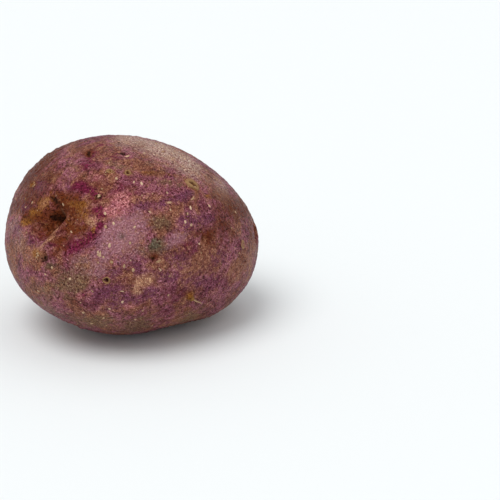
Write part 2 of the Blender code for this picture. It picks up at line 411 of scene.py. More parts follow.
def cube_sphere(steps):
    """Directions and faces of six grids: a side's centre plus the tangents of two angles."""
    angle = np.tan(np.linspace(-1, 1, steps + 1) * math.pi / 4)
    s, t = np.meshgrid(angle, angle, indexing="ij")
    sides, faces = [], []
    row, column = np.meshgrid(np.arange(steps), np.arange(steps), indexing="ij")
    first = (row * (steps + 1) + column).ravel()
    for side in range(6):
        axis, sign = side % 3, 1 - 2 * (side // 3)
        centre, along, over = np.roll(np.eye(3), axis, axis=1) * sign
        over = over * sign  # keeps the corner order outward on both signs
        grid = centre + s[..., None] * along + t[..., None] * over
        corners = np.stack([first, first + steps + 1, first + steps + 2, first + 1], 1)
        faces.append(corners + side * (steps + 1) ** 2)
        sides.append(unit(grid).reshape(-1, 3))
    points = np.concatenate(sides)
    keys = np.round(points * 1e6).astype(np.int64)
    _, kept, merged = np.unique(keys, axis=0, return_index=True, return_inverse=True)
    return points[kept], merged.ravel()[np.concatenate(faces)]


def make_mesh(name, points, *face_blocks):
    """A mesh object at the origin from points in millimetres, smooth shaded."""
    mesh = bpy.data.meshes.new(name)
    faces = [face for block in face_blocks for face in block.tolist()]
    mesh.from_pydata((points * MM).tolist(), [], faces)
    mesh.shade_smooth()
    made = bpy.data.objects.new(name, mesh)
    bpy.context.scene.collection.objects.link(made)
    return made


skin_ways, skin_faces = cube_sphere(SKIN_STEPS)
skin_smooth = smooth_tuber(skin_ways)
skin = make_mesh("potato_skin", skin_points(skin_ways), skin_faces)
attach(skin, "root")
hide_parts("potato")
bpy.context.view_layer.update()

# %% [markdown]
# ## Stains and painted light as numbers on the skin
#
# The skin isn't one colour: anthocyanin pools in violet and magenta patches, cork turns the
# deep eye and old scars russet and gold, and light has greened one spot. Some of the lists also
# paint light and shade into the colour: a sheen along the top, highlights on the front bulge and
# on the ridges of folds, and shade in creases and pits. A painted texture would show all that,
# but it is hard to edit. Here each one is a list of soft spots, added up at every point of the
# mesh and stored as a named attribute that the material can read.

# %% List the stains and the painted light
# Every spot: aim, turn, half length, half width and strength.
STAINS = {
    "umber": [
        (34, -31, -41, 10.5, 5.8, 1.0), (46, -27, -36, 9.9, 5.0, 0.75), (20, -50, -41, 15.0, 3.0, 0.7),
        (27, 40, 40, 11.0, 9.0, 0.6), (28, -5, 0, 7.0, 5.0, 0.6), (37, 8, 20, 6.0, 3.0, 0.4),
        (105, 42, -55, 6.0, 4.5, 0.5), (98, 72, 75, 7.0, 3.6, 0.75), (116, 52, -77, 7.0, 4.5, 0.85),
        (104, 62, 60, 5.0, 3.5, 0.7), (126, 40, -60, 8.0, 5.0, 0.7),
    ],
    "violet": [
        (6, -20, -7, 5.0, 2.2, 0.9), (11, 73, 90, 3.2, 2.2, 0.8), (16, -8, -2, 4.5, 1.3, 0.6),
        (28, -1, 7, 4.4, 2.6, 0.6), (45, 74, -60, 3.5, 1.8, 0.6), (30, 70, 40, 5.0, 2.6, 0.6),
        (38, 25, 40, 4.0, 2.0, 0.6), (96, 100, 80, 8.0, 4.0, 0.5), (55, 109, -73, 5.2, 3.4, 0.9),
        (64, 112, 85, 3.0, 2.4, 0.8), (72, 106, 54, 2.8, 2.3, 0.9), (54, 94, -78, 2.6, 2.2, 0.6),
        (65, 92, 35, 4.2, 2.6, 0.7), (87, 64, -79, 5.0, 2.4, 0.9), (66, 55, -82, 3.0, 1.7, 0.8),
        (76, 54, -78, 3.0, 1.4, 0.8), (83, 51, -74, 2.6, 1.7, 0.8), (88, 48, -71, 2.1, 1.3, 0.8),
        (97, 62, -60, 3.5, 2.0, 0.8), (70, 7, -19, 2.6, 1.4, 0.7), (60, 118, -40, 4.0, 2.0, 0.7),
        (78, 96, 70, 5.0, 2.0, 0.7), (82, 86, 75, 6.0, 3.0, 0.55), (104, 84, 80, 5.0, 3.0, 0.5),
    ],
    # Lavender patches, which on the bulge at the front also paint its highlight.
    "lavender_and_highlight": [
        (54, 67, -59, 4.6, 3.0, 1.0), (59, 73, -61, 4.0, 3.0, 0.9), (52, 76, 89, 3.0, 2.2, 0.8),
        (48, 84, -60, 4.0, 2.6, 0.5), (80, 74, -75, 3.6, 2.0, 0.9), (63, 62, -70, 3.0, 2.0, 0.6),
        (60, 84, -70, 4.5, 2.5, 0.4), (38, 90, -55, 5.5, 3.0, 0.35), (48, 96, -60, 5.0, 3.0, 0.4),
        (14, 98, -50, 5.0, 2.5, 0.45), (62, 68, -70, 6.0, 4.0, 0.3),
    ],
    # Pale dust, which also paints a sheen of highlight along the top.
    "bloom_and_sheen": [
        (87, 12, -24, 9.5, 6.5, 0.8), (97, 25, -24, 9.5, 5.2, 0.65), (78, -2, -38, 10.0, 4.6, 0.65),
        (112, 34, -40, 8.0, 4.0, 0.4), (10, -60, -20, 6.0, 3.0, 0.3), (3, 120, 0, 4.0, 5.0, 0.3),
    ],
    "khaki": [
        (39, 109, -47, 7.5, 4.4, 0.9), (30, 136, -23, 5.5, 3.6, 0.6), (58, 139, -37, 8.0, 4.8, 0.9),
        (76, 136, -2, 7.5, 5.0, 0.8), (100, 132, 10, 8.0, 5.0, 0.7), (40, 160, -30, 7.0, 4.0, 0.6),
        (73, 65, -87, 3.6, 2.4, 0.9), (72, 78, 88, 3.4, 2.5, 0.9), (64, 80, 60, 3.6, 2.2, 0.5),
        (40, 90, -50, 3.0, 2.0, 0.6), (62, 28, 40, 5.0, 2.5, 0.6), (80, 42, 80, 6.0, 1.8, 0.5),
        (25, 104, -53, 2.4, 1.5, 0.8), (46, 11, 16, 4.4, 2.3, 0.5),
    ],
    "green": [
        (70, 77, 88, 2.2, 1.6, 0.9), (56, 72, 0, 1.6, 1.4, 0.4), (20, 103, -60, 2.0, 1.2, 0.5),
    ],
    "magenta": [
        (42, 29, 57, 2.6, 1.5, 1.0), (45, 36, 29, 2.5, 1.5, 1.0), (48, 44, 50, 2.2, 1.8, 1.0),
        (47, 53, 75, 2.3, 1.3, 1.0), (49, 58, -79, 2.2, 0.9, 0.95), (47, 64, -56, 1.8, 1.1, 0.95),
        (42, 71, -59, 3.2, 1.4, 1.0), (36, 77, -72, 3.2, 1.8, 1.0), (33, 84, -59, 2.1, 1.1, 0.8),
        (24, 79, 87, 2.1, 0.7, 0.8), (14, 64, -60, 3.0, 2.0, 0.6), (55, 11, -23, 4.0, 2.2, 0.7),
        (48, 16, 40, 4.0, 1.8, 0.6), (62, 3, -20, 1.6, 1.1, 0.9), (63, 18, -20, 2.8, 1.6, 0.6),
        (45, 117, -11, 1.0, 0.8, 0.8), (57, 44, -60, 2.0, 0.8, 0.6), (62, 48, -70, 2.2, 0.7, 0.6),
        (96, 73, 80, 4.0, 1.6, 0.35), (88, 80, 60, 5.0, 1.6, 0.45),
    ],
    "rose": [
        (58, 50, -87, 3.8, 2.5, 0.8), (55, 57, -76, 3.0, 1.8, 0.8), (51, 55, 0, 1.3, 1.1, 0.8),
        (45, 60, 45, 1.2, 1.0, 0.6), (66, 117, -88, 2.2, 1.4, 0.9), (44, 119, -10, 1.4, 1.1, 0.7),
        (68, 99, -74, 4.0, 3.2, 0.35), (51, 30, 40, 3.0, 1.6, 0.5), (36, 15, 10, 3.0, 2.0, 0.4),
        (8, 30, 0, 2.5, 2.0, 0.5),
    ],
    "russet": [
        (24, 40, 81, 3.8, 2.3, 1.0), (18, 51, -85, 3.9, 2.3, 0.85), (33, 33, 42, 4.0, 2.6, 0.95),
        (29, 24, -8, 2.6, 1.2, 0.9), (37, 46, 54, 4.9, 3.8, 1.0), (33, 61, 59, 3.9, 3.0, 1.0),
        (28, 73, -66, 2.8, 1.9, 0.75), (24, 90, -89, 2.8, 1.5, 0.6), (30, 83, 81, 2.6, 1.4, 0.45),
        (40, 64, -50, 2.6, 1.6, 0.8), (18, 22, 60, 3.4, 1.8, 0.6), (55, 6, -16, 2.2, 1.5, 0.9),
        (97, 71, 80, 4.2, 2.2, 0.55), (92, 75, 70, 2.4, 1.4, 0.4), (13, 15, 40, 4.6, 2.4, 0.85),
        (21, 62, -70, 4.0, 1.8, 0.8), (70, 84, 86, 1.4, 1.0, 0.9), (28, -14, -11, 2.0, 1.2, 0.5),
    ],
    "gold": [
        (25, 22, 89, 3.8, 2.0, 0.75), (31, 50, 20, 3.0, 1.2, 0.4), (10, 13, 40, 3.0, 1.2, 1.0),
        (17, 19, 40, 2.0, 1.2, 0.9), (28, -14, -11, 2.0, 1.0, 1.0), (42, 46, 58, 2.4, 1.6, 0.7),
        (93, 109.5, 0, 1.7, 1.3, 0.9), (40, 54, 30, 3.0, 1.8, 0.75), (36, 40, 50, 2.4, 1.2, 0.6),
        (15.5, 98, -63, 2.4, 1.5, 1.0), (44, 66, 0, 1.0, 0.7, 0.8), (92, 42, 60, 3.0, 2.2, 1.0),
        (99, 48, -63, 1.3, 0.9, 0.6), (57, 30, 0, 1.2, 1.0, 0.9), (64, 34, 0, 1.2, 1.1, 0.6),
        (72, 35, 88, 4.0, 0.8, 0.4), (84, 37, 86, 4.0, 0.9, 0.4), (48, 44.5, 0, 1.3, 1.1, 0.4),
        (52.5, 88, 0, 0.9, 0.8, 0.7),
    ],
    # Pale cork streaks, which on the ridges of folds and the shoulder by the deep eye also paint their
    # highlight.
    "pale_and_highlight": [
        (25, 23, 89, 3.2, 1.5, 0.4), (43, 60, 45, 1.8, 1.5, 0.95), (68, 99, -74, 2.9, 2.4, 0.9),
        (66, 105, -44, 2.4, 1.7, 0.6), (29, 39, -14, 1.4, 0.5, 0.7), (27, 49, -37, 1.8, 0.45, 0.8),
        (26, 61, -54, 2.2, 0.45, 0.8), (22, 73, -57, 2.4, 0.45, 0.8), (17, 88, -50, 2.0, 0.5, 0.7),
        (46, 14, 16, 2.6, 1.4, 0.4), (73, 87, -70, 1.4, 0.5, 0.8), (68, 20, 62, 1.1, 0.5, 0.9),
        (87, 16, -52, 1.3, 0.6, 0.5), (78, 54, -88, 1.3, 0.5, 0.8), (90, 51, -52, 1.3, 0.4, 0.8),
    ],
    # Dark pit colour, which also paints shade into creases, the hollows of eyes and the pits of scars.
    "dark_and_shade": [
        (24, 40, 60, 2.2, 1.3, 0.7), (26, 44, 60, 1.6, 1.0, 0.45), (29, 26, -8, 2.2, 1.2, 0.45),
        (30, 31, -1, 3.0, 1.4, 0.5), (28, 42, -20, 1.8, 0.6, 0.5), (19, 55, -80, 3.2, 0.9, 0.35),
        (24, 52, -60, 3.0, 0.8, 0.5), (23, 80, 87, 1.4, 0.6, 0.6), (21, 101, -65, 1.7, 1.0, 0.8),
        (26, 102, -53, 2.2, 1.2, 0.4), (13, 10, 40, 2.4, 0.5, 0.5), (52, 100.5, 0, 0.9, 0.9, 0.65),
        (64, 34, 0, 0.55, 0.45, 0.9), (92, 42, 60, 1.4, 0.85, 0.95), (97, 73, 80, 3.2, 1.3, 0.35),
        (55, 6, -16, 1.6, 0.6, 0.9), (70, 85, 86, 1.0, 0.6, 0.9), (49, 44.5, 34, 1.1, 1.0, 0.8),
        (47, 25, 8, 1.0, 0.8, 0.6), (67, 17, 40, 1.7, 0.45, 0.8), (70, 5, -19, 2.2, 0.4, 0.6),
        (107, 31, 54, 1.8, 0.5, 0.6), (108, 24, 54, 1.4, 0.5, 0.6), (13, 165, -4, 2.4, 1.0, 0.5),
    ],
    "net": [
        (104, 36, -55, 9.0, 5.0, 0.9), (114, 52, -72, 8.0, 5.0, 0.9), (84, 28, -60, 10.0, 5.0, 0.7),
        (70, 46, -70, 8.0, 4.0, 0.6), (88, 62, -70, 6.0, 4.0, 0.5), (62, 10, -20, 8.0, 4.0, 0.5),
        (50, 100, -60, 8.0, 5.0, 0.5), (30, 136, -23, 7.0, 4.0, 0.5),
    ],
}

# Stains and painted light on the far sides, drawn at random: how many, and their largest half size.
FAR_STAINS = {
    "umber": (8, 8.0), "bloom_and_sheen": (5, 7.0), "violet": (16, 6.5), "lavender_and_highlight": (6, 7.0),
    "magenta": (12, 4.0), "rose": (8, 3.5), "green": (3, 3.0), "russet": (9, 3.5),
    "gold": (9, 2.0), "khaki": (12, 8.0), "pale_and_highlight": (10, 2.2), "dark_and_shade": (6, 1.2), "net": (8, 9.0),
}
print(sum(map(len, STAINS.values())), "spots listed for", len(STAINS), "stains")

# %% Spread the stains and painted light over the skin
FAR_SEED = 21
FAR_EDGE = 0.05  # how far the far half reaches over the outline, as a cosine
FAR_LENGTHS = (0.4, 1.0)  # shares of the largest half size
FAR_WIDTHS = (0.35, 0.8)  # shares of the length
FAR_STRENGTHS = (0.6, 1.0)
SEEN_EYES = 7  # the first rows of EYES show in the photograph
EYE_RUSSET = 0.55  # how strongly each far eye is russet
EYE_RUSSET_SHARES = (0.8, 0.5)  # its half length and half width over the eye's half width


def random_stain_spots(random, count, largest):
    """Soft spots with random aims on the half that the photograph doesn't show."""
    ways = unit(random.normal(size=(count * 4, 3)))
    ways = ways[ways @ np.array(BACK) < FAR_EDGE][:count]
    turns = random.uniform(-90, 90, count)
    lengths = largest * random.uniform(*FAR_LENGTHS, count)
    widths = lengths * random.uniform(*FAR_WIDTHS, count)
    strengths = random.uniform(*FAR_STRENGTHS, count)
    return np.column_stack([spots_of(ways), turns, lengths, widths, strengths]).tolist()


def cover(directions, points, spots):
    """How much of each point the spots cover: one minus the product of what each leaves bare."""
    bare = np.ones(len(points))
    for *spot, turn, half_length, half_width, strength in spots:
        u, v = local_places(directions, points, spot, turn)
        bare *= 1 - strength * mound(u, v, half_length, half_width)
    return 1 - bare


def store(made, name, values):
    """Stores one number for each point of a piece as a named attribute."""
    attribute = made.data.attributes.new(name, "FLOAT", "POINT")
    attribute.data.foreach_set("value", np.asarray(values, np.float32))


far_random = np.random.default_rng(FAR_SEED)
for pigment, (count, largest) in FAR_STAINS.items():
    spots = STAINS[pigment] + random_stain_spots(far_random, count, largest)
    if pigment == "russet":
        long, wide = EYE_RUSSET_SHARES
        spots += [
            (*spot, turn, long * half_width, wide * half_width, EYE_RUSSET)
            for *spot, turn, half_width, _, _, _ in EYES[SEEN_EYES:]
        ]
    covered = cover(skin_ways, skin_smooth, spots)
    store(skin, pigment, covered)
    print(f"{pigment}: {len(spots)} spots, {covered.mean():.0%} of the skin")

# %% [markdown]
# ## Helpers for materials
#
# A material is a small graph of nodes. Building it in code needs a few helpers: one adds a node
# and fills or links its inputs, one mixes a colour in where a mask says so, and others make sums,
# noise, ramps, groups and whole materials.

# %% Define the node helpers


def fill(tree, socket, value):
    """Gives an input a value, or a link where the value is another node's output."""
    if isinstance(value, bpy.types.NodeSocket):
        tree.links.new(value, socket)
    else:
        socket.default_value = value


def add(tree, kind, settings=None, inputs=None):
    """Adds a node, sets its own settings, and fills its inputs."""
    made = tree.nodes.new(kind)
    for name, value in (settings or {}).items():
        setattr(made, name, value)
    for name, value in (inputs or {}).items():
        fill(tree, made.inputs[name], value)
    return made


def stored_number(tree, name):
    """Reads a number that was stored at the points of a piece."""
    return add(tree, "ShaderNodeAttribute", {"attribute_name": name}).outputs["Fac"]


def calc(tree, operation, *values, clamp=False):
    """One Math node; returns its result."""
    settings = {"operation": operation, "use_clamp": clamp}
    return add(tree, "ShaderNodeMath", settings, dict(enumerate(values))).outputs[0]


def blend_colour(tree, mask, under, over, amount=1.0, way="MIX"):
    """Lays a colour over another where the mask is high, up to the amount."""
    share = mask if amount == 1.0 else calc(tree, "MULTIPLY", mask, amount)
    made = add(tree, "ShaderNodeMix", {"data_type": "RGBA", "blend_type": way})
    for name, value in (("Factor_Float", share), ("A_Color", under), ("B_Color", over)):
        fill(tree, next(s for s in made.inputs if s.identifier == name), value)
    return next(s for s in made.outputs if s.identifier == "Result_Color")


def weighted_sum(tree, values, shares):
    """Adds up named values, each times its share."""
    total = None
    for name, share in shares.items():
        part = calc(tree, "MULTIPLY", values[name], share)
        total = part if total is None else calc(tree, "ADD", total, part)
    return total


def noise(tree, vector, scale, detail=2.0, roughness=0.5, distortion=0.0):
    """A Noise texture's value, about 0.2 to 0.8. The scale is in waves to the metre."""
    inputs = {
        "Vector": vector, "Scale": scale, "Detail": detail,
        "Roughness": roughness, "Distortion": distortion,
    }
    return add(tree, "ShaderNodeTexNoise", {}, inputs).outputs["Fac"]


def ramp(tree, value, low, high):
    """Stretches a value so that low becomes 0 and high becomes 1, with soft ends."""
    made = add(tree, "ShaderNodeMapRange", {"interpolation_type": "SMOOTHSTEP"})
    tree.links.new(value, made.inputs["Value"])
    made.inputs["From Min"].default_value = low
    made.inputs["From Max"].default_value = high
    return made.outputs["Result"]


print("node helpers ready")

# %% Define the helpers for groups and whole materials


def new_group(name, inputs, outputs):
    """An empty node group with named sockets; inputs give their default values."""
    group = bpy.data.node_groups.new(name, "ShaderNodeTree")
    for title, value in inputs.items():
        kind = "NodeSocketVector" if value is None else "NodeSocketFloat"
        socket = group.interface.new_socket(title, in_out="INPUT", socket_type=kind)
        if value is not None:
            socket.default_value = value
    for title in outputs:
        group.interface.new_socket(title, in_out="OUTPUT", socket_type="NodeSocketFloat")
    return group, group.nodes.new("NodeGroupInput"), group.nodes.new("NodeGroupOutput")


def use_group(tree, group, inputs):
    """Places a node group in a material and fills its inputs."""
    return add(tree, "ShaderNodeGroup", {"node_tree": group}, inputs).outputs


def new_material(name):
    """A material, its node tree, its shader, and places measured in the object's own space."""
    made = bpy.data.materials.new(name)
    made.use_nodes = True
    tree = made.node_tree
    where = add(tree, "ShaderNodeTexCoord").outputs["Object"]
    return made, tree, tree.nodes["Principled BSDF"], where


def fill_shader(tree, shader, height, inputs):
    """Fills a shader's inputs and bumps it by a height in millimetres."""
    bump = add(tree, "ShaderNodeBump", {}, {"Height": height, "Distance": MM, "Strength": 1.0})
    for name, value in {**inputs, "Normal": bump.outputs["Normal"]}.items():
        fill(tree, shader.inputs[name], value)


print("group and material helpers ready")

# %% [markdown]
# ## Ragged stains and fine grain, as node groups
#
# A stain on a potato has no soft airbrushed edge: it breaks up into blotches and specks. The
# first group does that by comparing a stain's cover with noise. The second makes the grain of
# dry skin: pale scurf, dark pores and the height of both. Many stains use the first and both
# materials use the second, so each is built once.

# %% Build the two node groups
GRAIN_SCALE = 1500.0  # waves to the metre
FINE_SCALE = 1.6  # scurf is finer than the pores by this factor
FINE_SHARE = 0.6  # its part in the height
SCURF_RANGE = (0.52, 0.63)
PORE_RANGE = (0.46, 0.38)

RAGGED, ragged_in, ragged_out = new_group(
    "ragged_stain", {"Cover": 0.0, "Noise": 0.5, "Softness": 0.3}, ["Mask"]
)
softness = ragged_in.outputs["Softness"]
raised = calc(RAGGED, "MULTIPLY", ragged_in.outputs["Cover"], calc(RAGGED, "ADD", softness, 1.0))
lead = calc(RAGGED, "SUBTRACT", raised, ragged_in.outputs["Noise"])
mask = calc(RAGGED, "DIVIDE", lead, softness, clamp=True)
RAGGED.links.new(mask, ragged_out.inputs["Mask"])

GRAIN, grain_in, grain_out = new_group(
    "dry_grain", {"Vector": None, "Scale": GRAIN_SCALE}, ["Scurf", "Pores", "Height"]
)
grain_vector, grain_scale = grain_in.outputs["Vector"], grain_in.outputs["Scale"]
coarse = noise(GRAIN, grain_vector, grain_scale, 2.0, 0.6)
fine = noise(GRAIN, grain_vector, calc(GRAIN, "MULTIPLY", grain_scale, FINE_SCALE), 1.0)
GRAIN.links.new(ramp(GRAIN, fine, *SCURF_RANGE), grain_out.inputs["Scurf"])
GRAIN.links.new(ramp(GRAIN, coarse, *PORE_RANGE), grain_out.inputs["Pores"])
height_sum = calc(GRAIN, "ADD", coarse, calc(GRAIN, "MULTIPLY", fine, FINE_SHARE))
GRAIN.links.new(height_sum, grain_out.inputs["Height"])
print("groups:", RAGGED.name, GRAIN.name)

# %% [markdown]
# ## The skin's ground, stains and painted light
#
# Potato skin is thin and see-through in layers: a ground of mauve and tan with the pigment
# stains over it, and among them a painted sheen, highlights and shade. Paint could be laid on by
# hand, but here it is mixed in that order from noise and from the stored numbers, so that every
# stain keeps its place and its edge stays ragged.

# %% Mix the ground
VIOLET_LOW = (0.110, 0.012, 0.025, 1)
VIOLET_HIGH = (0.322, 0.095, 0.125, 1)
TAN_LOW = (0.114, 0.020, 0.011, 1)
TAN_HIGH = (0.318, 0.114, 0.071, 1)
# Noise: waves to the metre, detail, roughness and distortion, then the range that is stretched.
PATTERNS = {
    "blotches": ((130, 4.0, 0.6, 0.6), (0.40, 0.60)),
    "mottle": ((520, 3.0, 0.65, 0.3), (0.41, 0.59)),
    "specks": ((1000, 2.0, 0.6), (0.40, 0.60)),
}
TONE_SHARES = {"blotches": 0.34, "mottle": 0.35, "specks": 0.34}
AREAS = (110, 3.0, 0.6, 0.4)
SMALL_AREAS = (300, 2.0, 0.5)
SMALL_SHARE = 0.5
TINT_RANGE = (0.64, 0.86)

skin_material, tree, shader, where = new_material("dusty_purple_skin")
fields = {
    name: ramp(tree, noise(tree, where, *texture), *stretch)
    for name, (texture, stretch) in PATTERNS.items()
}
areas = noise(tree, where, *AREAS)
small_areas = calc(tree, "MULTIPLY", noise(tree, where, *SMALL_AREAS), SMALL_SHARE)
tint = ramp(tree, calc(tree, "ADD", areas, small_areas), *TINT_RANGE)
dark_ground = blend_colour(tree, tint, VIOLET_LOW, TAN_LOW)
light_ground = blend_colour(tree, tint, VIOLET_HIGH, TAN_HIGH)
colour = blend_colour(tree, weighted_sum(tree, fields, TONE_SHARES), dark_ground, light_ground)
print("ground mixed from", ", ".join(fields))

# %% Lay the stains and painted light over the ground
PIGMENTS = {  # stain: colour, the most it covers, softness of its edge
    "umber": ((0.122, 0.023, 0.008, 1), 0.90, 1.3),
    "khaki": ((0.162, 0.078, 0.042, 1), 0.85, 1.0),
    "violet": ((0.150, 0.032, 0.064, 1), 0.85, 0.9),
    # lavender, with a painted highlight on the front bulge
    "lavender_and_highlight": ((0.365, 0.150, 0.178, 1), 0.80, 0.9),
    # pale dust, with a painted sheen of highlight along the top
    "bloom_and_sheen": ((0.520, 0.315, 0.245, 1), 0.90, 2.5),
    "green": ((0.092, 0.068, 0.044, 1), 0.80, 0.9),
    "magenta": ((0.135, 0.007, 0.030, 1), 0.95, 0.8),
    "rose": ((0.470, 0.140, 0.150, 1), 0.75, 1.1),
    "russet": ((0.142, 0.027, 0.005, 1), 0.94, 1.6),
    "gold": ((0.275, 0.098, 0.016, 1), 0.80, 1.4),
    # pale cork, with painted highlight on ridges and the shoulder
    "pale_and_highlight": ((0.460, 0.205, 0.115, 1), 0.75, 0.9),
    # dark pits, with painted shade in creases and hollows
    "dark_and_shade": ((0.026, 0.005, 0.001, 1), 0.95, 0.9),
}
EDGE_SHARES = {"mottle": 0.50, "blotches": 0.20, "specks": 0.12}

edge_noise = weighted_sum(tree, fields, EDGE_SHARES)
masks = {}
for pigment, (paint, most, softness) in PIGMENTS.items():
    ragged = {"Cover": stored_number(tree, pigment), "Noise": edge_noise, "Softness": softness}
    masks[pigment] = use_group(tree, RAGGED, ragged)["Mask"]
    colour = blend_colour(tree, masks[pigment], colour, paint, most)
print("stains laid:", ", ".join(masks))

# %% [markdown]
# ## Scurf, pores and the cork net
#
# Scurf is the dust of dead cells that dulls the skin, and between its flakes the pores look
# dark. Fine cracks heal into a net of pale cork. All three only change the colour below, so
# they are multiplied or mixed in last. The gloss is weak and uneven, because dust scatters it.

# %% Dust the skin with scurf and pores
SCURF_GAIN = (2.1, 2.9, 2.85, 1)  # how many times lighter scurf makes what lies under it
PORE_GAIN = (0.28, 0.08, 0.09, 1)  # what share of it a pore leaves
SCURF_MOST = 0.85
SCURF_LOSS = 0.7  # how much of it is missing where a stain is bare of scurf
# Stains bare of scurf; the lavender also holds a painted highlight, and the dark painted shade.
BARE_STAINS = {"russet": 1.0, "dark_and_shade": 1.0, "lavender_and_highlight": 0.6, "umber": 0.75, "gold": 0.5}
PORE_DEPTH = 1.4
PORE_FADE = 1.2  # how much shallower the pores are where the area noise is 1
PORE_CLEAR = 0.35  # and where the lavender, with its painted highlight, lies

grain = use_group(tree, GRAIN, {"Vector": where, "Scale": GRAIN_SCALE})
bare = 0.0
for pigment, share in BARE_STAINS.items():
    bare = calc(tree, "MAXIMUM", bare, calc(tree, "MULTIPLY", masks[pigment], share))
scurf_left = calc(tree, "SUBTRACT", SCURF_MOST, calc(tree, "MULTIPLY", bare, SCURF_LOSS))
scurf = calc(tree, "MULTIPLY", grain["Scurf"], scurf_left)
colour = blend_colour(tree, scurf, colour, SCURF_GAIN, 1.0, "MULTIPLY")
fade = calc(tree, "MULTIPLY", areas, PORE_FADE)
depth = calc(tree, "SUBTRACT", PORE_DEPTH, fade, clamp=True)
depth = calc(tree, "SUBTRACT", depth, calc(tree, "MULTIPLY", masks["lavender_and_highlight"], PORE_CLEAR))
pores_here = calc(tree, "MULTIPLY", grain["Pores"], depth, clamp=True)
colour = blend_colour(tree, pores_here, colour, PORE_GAIN, 1.0, "MULTIPLY")
print("scurf and pores added:", len(tree.nodes), "nodes so far")

# %% Draw the cork net
NET_COLOUR = (0.500, 0.250, 0.110, 1)
NET_MOST = 0.9
NET_WANDER = (620, 3.0, 0.6, 1.2)
NET_MIDDLE = 0.5  # a line runs where the wandering noise is near this
NET_LINE = (0.030, 0.004)
NET_AREAS = (130, 2.0)
NET_AREA_RANGE = (0.42, 0.56)
NET_AREA_MOST = 0.6

off_line = calc(tree, "SUBTRACT", noise(tree, where, *NET_WANDER), NET_MIDDLE)
net_lines = ramp(tree, calc(tree, "ABSOLUTE", off_line), *NET_LINE)
net_areas = ramp(tree, noise(tree, where, *NET_AREAS), *NET_AREA_RANGE)
net_reach = calc(tree, "MULTIPLY", net_areas, NET_AREA_MOST)
net_reach = calc(tree, "MAXIMUM", net_reach, stored_number(tree, "net"))
net = calc(tree, "MULTIPLY", net_lines, calc(tree, "MULTIPLY", net_reach, fields["specks"]))
colour = blend_colour(tree, net, colour, NET_COLOUR, NET_MOST)
print("net drawn:", len(tree.nodes), "nodes so far")

# %% Finish the skin's material
ROUGHNESS = 0.38
ROUGHER = {"cork": 0.25, "scurf": 0.15}
BUMP_SHARES = {"grain": 1.05, "mottle": 0.12, "net": 0.05}
SKIN_IOR = 1.2  # low, because dust and scurf scatter the gloss of the rim

cork = calc(tree, "MAXIMUM", masks["russet"], masks["gold"])
rougher = weighted_sum(tree, {"cork": cork, "scurf": grain["Scurf"]}, ROUGHER)
rough = calc(tree, "ADD", rougher, ROUGHNESS)
heights = {"grain": grain["Height"], "mottle": fields["mottle"], "net": net}
height = weighted_sum(tree, heights, BUMP_SHARES)
fill_shader(tree, shader, height, {"Base Color": colour, "Roughness": rough, "IOR": SKIN_IOR})
skin.data.materials.append(skin_material)
print("skin material:", len(tree.nodes), "nodes")

# %% [markdown]
# ## Cream pores
#
# Lenticels are the pores a tuber breathes through. Each is a tiny plug of cream cork that
# stands a little proud. A bump texture would look right only from afar, so each pore is a real
# lens of a few dozen faces, half sunk into the skin. The ones that show in the photograph have
# their own aims, and where pores have run together a scab of crumbs is strewn. The rest are
# spread evenly over the tuber and jittered.

# %% List the cream pores that show
# Aim, turn, half length, half width and paleness.
SEEN_PORES = [
    (68, 42, 20, 0.62, 0.43, 0.9), (65, 40.5, -30, 0.47, 0.31, 0.72), (88, 56.5, 10, 0.66, 0.39, 0.9),
    (98.5, 54, 40, 0.55, 0.35, 0.72), (84.5, 64.5, 30, 0.55, 0.39, 0.81), (87.5, 66, 0, 0.47, 0.39, 0.63),
    (68.5, 59, 40, 0.47, 0.27, 0.72), (51, 77.5, 0, 0.58, 0.47, 0.81), (53, 64, 0, 0.47, 0.39, 0.81),
    (50, 57, 0, 0.47, 0.43, 0.81), (50, 133, 0, 0.55, 0.47, 0.63), (58.5, 121.5, 30, 0.47, 0.35, 0.72),
    (62, 114, 0, 0.51, 0.39, 0.9), (60, 106.5, -80, 0.62, 0.23, 0.72), (36.5, 108, 20, 0.47, 0.35, 0.81),
    (26.5, 105.5, 0, 0.51, 0.39, 0.63), (57.5, 142, 30, 0.7, 0.47, 0.54), (62, 92, 0, 0.55, 0.47, 0.45),
    (58, 90, 10, 0.58, 0.39, 0.45), (74, 91.5, 50, 0.7, 0.23, 0.81), (92, 76.5, 0, 0.39, 0.31, 0.81),
    (81.5, 108, 0, 0.39, 0.31, 0.54), (59, 131, 0, 0.47, 0.39, 0.54), (61.5, 67, -60, 0.47, 0.31, 0.72),
    (32.5, 65, 40, 0.47, 0.27, 0.63), (31.5, 35, 0, 0.47, 0.35, 0.63), (16.5, -5, 0, 0.39, 0.31, 0.54),
    (95, 19, 40, 0.39, 0.31, 0.81), (96.5, 20, 0, 0.43, 0.35, 0.81), (58.5, 36, 30, 0.58, 0.43, 0.54),
    (116, 53.5, 0, 0.47, 0.35, 0.72), (72.5, 128, 0, 0.43, 0.35, 0.63), (78, 48.5, 0, 0.39, 0.27, 0.54),
    (86, 60, 10, 0.47, 0.31, 0.45), (78, 58, 0, 0.39, 0.31, 0.63), (52.5, 88, 20, 0.47, 0.43, 0.36),
    (59.5, 76, 0, 0.43, 0.39, 0.45), (49.5, 65.5, 20, 0.51, 0.47, 0.36), (90, 51, -52, 0.86, 0.27, 0.45),
    (78, 54, -84, 0.94, 0.23, 0.54), (68, 20.5, 69, 0.78, 0.27, 0.72),
    (72.5, 86.5, -70, 0.94, 0.27, 0.36), (87, 16, -54, 0.94, 0.39, 0.36),
    (88.5, 5, -33, 0.94, 0.39, 0.36), (47, 84.5, 0, 0.47, 0.39, 0.54), (49, 44.5, 80, 0.47, 0.2, 0.63),
]
